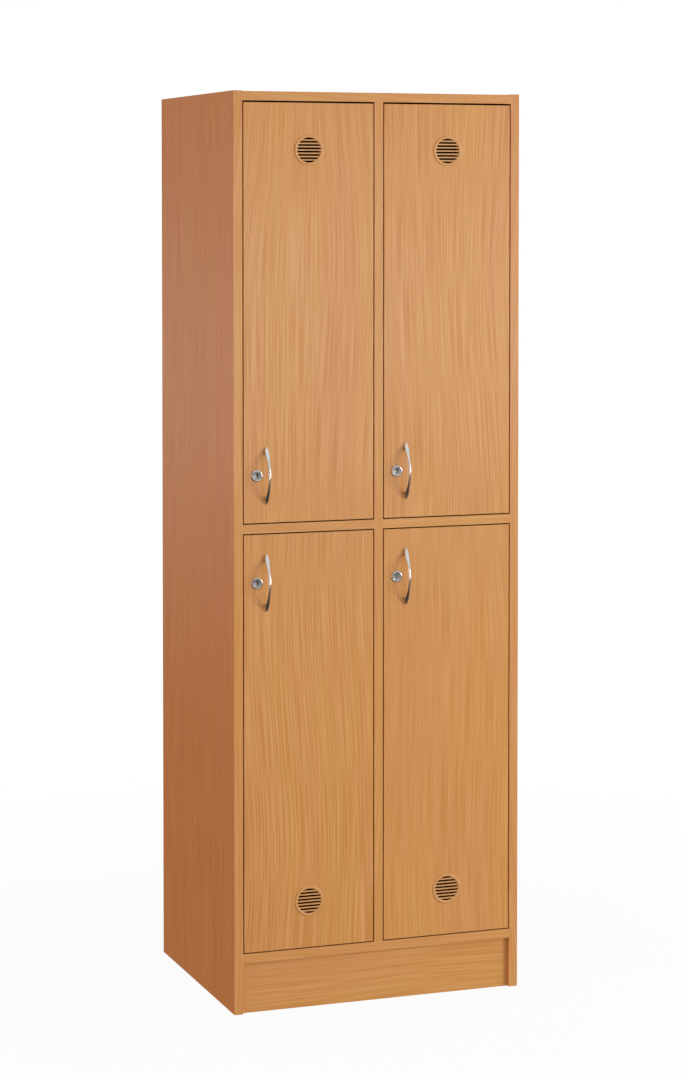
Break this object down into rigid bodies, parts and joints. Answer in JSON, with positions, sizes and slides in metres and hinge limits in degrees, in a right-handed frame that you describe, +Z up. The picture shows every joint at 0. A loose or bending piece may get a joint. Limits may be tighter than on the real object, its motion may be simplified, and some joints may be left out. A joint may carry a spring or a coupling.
{
  "type": "coin operated locker",
  "caption": "Tall free-standing board locker with stacked compartments, inset hinged doors with bow handles, round vents and coin-return locks, on a recessed plinth.",
  "frame": {"origin": "on the floor, under the middle of the overall box (handles included)", "axes": "+Z up, doors face -Y, +X to the right seen from the front"},
  "size_m": [0.6, 0.516, 1.8],
  "materials": {
    "board": "beech-effect laminate, satin",
    "vent_plastic": "beech-coloured moulded plastic",
    "handle_metal": "satin nickel plate",
    "lock_chrome": "polished chrome plate",
    "plug_steel": "nickel-plated, lightly brushed",
    "case_plastic": "black moulded plastic, fine texture",
    "hinge_steel": "nickel-plated pressed steel",
    "bolt_zinc": "zinc-plated steel"
  },
  "bodies": {
    "carcass": {"side_panel_left": "board", "side_panel_right": "board", "top_panel": "board", "bottom_panel": "board", "centre_partition": "board", "shelf_left": "board", "shelf_right": "board", "back_panel": "board", "plinth_board": "board", "plinth_rear_board": "board", "upper_left_hinge_arm_low": "hinge_steel", "upper_left_hinge_arm_high": "hinge_steel", "upper_right_hinge_arm_low": "hinge_steel", "upper_right_hinge_arm_high": "hinge_steel", "lower_left_hinge_arm_low": "hinge_steel", "lower_left_hinge_arm_high": "hinge_steel", "lower_right_hinge_arm_low": "hinge_steel", "lower_right_hinge_arm_high": "hinge_steel"},
    "upper_left_door": {"upper_left_door_panel": "board", "upper_left_vent_grille": "vent_plastic", "upper_left_handle": "handle_metal", "upper_left_lock_cylinder": "lock_chrome", "upper_left_lock_case": "case_plastic", "upper_left_hinge_cup_low": "hinge_steel", "upper_left_hinge_cup_high": "hinge_steel"},
    "upper_left_lock_plug": {"upper_left_lock_plug": "plug_steel"},
    "upper_left_lock_bolt": {"upper_left_lock_bolt": "bolt_zinc"},
    "upper_left_coin_lever": {"upper_left_coin_lever": "bolt_zinc"},
    "upper_right_door": {"upper_right_door_panel": "board", "upper_right_vent_grille": "vent_plastic", "upper_right_handle": "handle_metal", "upper_right_lock_cylinder": "lock_chrome", "upper_right_lock_case": "case_plastic", "upper_right_hinge_cup_low": "hinge_steel", "upper_right_hinge_cup_high": "hinge_steel"},
    "upper_right_lock_plug": {"upper_right_lock_plug": "plug_steel"},
    "upper_right_lock_bolt": {"upper_right_lock_bolt": "bolt_zinc"},
    "upper_right_coin_lever": {"upper_right_coin_lever": "bolt_zinc"},
    "lower_left_door": {"lower_left_door_panel": "board", "lower_left_vent_grille": "vent_plastic", "lower_left_handle": "handle_metal", "lower_left_lock_cylinder": "lock_chrome", "lower_left_lock_case": "case_plastic", "lower_left_hinge_cup_low": "hinge_steel", "lower_left_hinge_cup_high": "hinge_steel"},
    "lower_left_lock_plug": {"lower_left_lock_plug": "plug_steel"},
    "lower_left_lock_bolt": {"lower_left_lock_bolt": "bolt_zinc"},
    "lower_left_coin_lever": {"lower_left_coin_lever": "bolt_zinc"},
    "lower_right_door": {"lower_right_door_panel": "board", "lower_right_vent_grille": "vent_plastic", "lower_right_handle": "handle_metal", "lower_right_lock_cylinder": "lock_chrome", "lower_right_lock_case": "case_plastic", "lower_right_hinge_cup_low": "hinge_steel", "lower_right_hinge_cup_high": "hinge_steel"},
    "lower_right_lock_plug": {"lower_right_lock_plug": "plug_steel"},
    "lower_right_lock_bolt": {"lower_right_lock_bolt": "bolt_zinc"},
    "lower_right_coin_lever": {"lower_right_coin_lever": "bolt_zinc"}
  },
  "joints": [
    {"name": "upper_left_door_swing", "type": "hinge", "parent": "carcass", "child": "upper_left_door", "pos_m": [-0.033, -0.223, 1.3695], "axis": [0, 0, 1], "range_deg": [0, 105]},
    {"name": "upper_left_plug_turn", "type": "hinge", "parent": "upper_left_door", "child": "upper_left_lock_plug", "pos_m": [-0.253, -0.212, 1.0535], "axis": [0, 1, 0], "range_deg": [0, 180]},
    {"name": "upper_left_bolt_slide", "type": "slide", "parent": "upper_left_door", "child": "upper_left_lock_bolt", "axis": [-1, 0, 0], "range_m": [0, 0.01257]},
    {"name": "upper_left_coin_lever_swing", "type": "hinge", "parent": "upper_left_door", "child": "upper_left_coin_lever", "pos_m": [-0.231, -0.205, 1.0655], "axis": [0, -1, 0], "range_deg": [0, 6]},
    {"name": "upper_right_door_swing", "type": "hinge", "parent": "carcass", "child": "upper_right_door", "pos_m": [0.258, -0.223, 1.3695], "axis": [0, 0, 1], "range_deg": [0, 105]},
    {"name": "upper_right_plug_turn", "type": "hinge", "parent": "upper_right_door", "child": "upper_right_lock_plug", "pos_m": [0.038, -0.212, 1.0535], "axis": [0, 1, 0], "range_deg": [0, 180]},
    {"name": "upper_right_bolt_slide", "type": "slide", "parent": "upper_right_door", "child": "upper_right_lock_bolt", "axis": [-1, 0, 0], "range_m": [0, 0.01257]},
    {"name": "upper_right_coin_lever_swing", "type": "hinge", "parent": "upper_right_door", "child": "upper_right_coin_lever", "pos_m": [0.06, -0.205, 1.0655], "axis": [0, -1, 0], "range_deg": [0, 6]},
    {"name": "lower_left_door_swing", "type": "hinge", "parent": "carcass", "child": "lower_left_door", "pos_m": [-0.033, -0.223, 0.5295], "axis": [0, 0, 1], "range_deg": [0, 105]},
    {"name": "lower_left_plug_turn", "type": "hinge", "parent": "lower_left_door", "child": "lower_left_lock_plug", "pos_m": [-0.253, -0.212, 0.844], "axis": [0, 1, 0], "range_deg": [0, 180]},
    {"name": "lower_left_bolt_slide", "type": "slide", "parent": "lower_left_door", "child": "lower_left_lock_bolt", "axis": [-1, 0, 0], "range_m": [0, 0.01257]},
    {"name": "lower_left_coin_lever_swing", "type": "hinge", "parent": "lower_left_door", "child": "lower_left_coin_lever", "pos_m": [-0.231, -0.205, 0.856], "axis": [0, -1, 0], "range_deg": [0, 6]},
    {"name": "lower_right_door_swing", "type": "hinge", "parent": "carcass", "child": "lower_right_door", "pos_m": [0.258, -0.223, 0.5295], "axis": [0, 0, 1], "range_deg": [0, 105]},
    {"name": "lower_right_plug_turn", "type": "hinge", "parent": "lower_right_door", "child": "lower_right_lock_plug", "pos_m": [0.038, -0.212, 0.844], "axis": [0, 1, 0], "range_deg": [0, 180]},
    {"name": "lower_right_bolt_slide", "type": "slide", "parent": "lower_right_door", "child": "lower_right_lock_bolt", "axis": [-1, 0, 0], "range_m": [0, 0.01257]},
    {"name": "lower_right_coin_lever_swing", "type": "hinge", "parent": "lower_right_door", "child": "lower_right_coin_lever", "pos_m": [0.06, -0.205, 0.856], "axis": [0, -1, 0], "range_deg": [0, 6]}
  ],
  "couplings": [
    {"joint": "upper_left_bolt_slide", "follows": "upper_left_plug_turn", "m_per_rad": 0.004},
    {"joint": "upper_right_bolt_slide", "follows": "upper_right_plug_turn", "m_per_rad": 0.004},
    {"joint": "lower_left_bolt_slide", "follows": "lower_left_plug_turn", "m_per_rad": 0.004},
    {"joint": "lower_right_bolt_slide", "follows": "lower_right_plug_turn", "m_per_rad": 0.004}
  ]
}
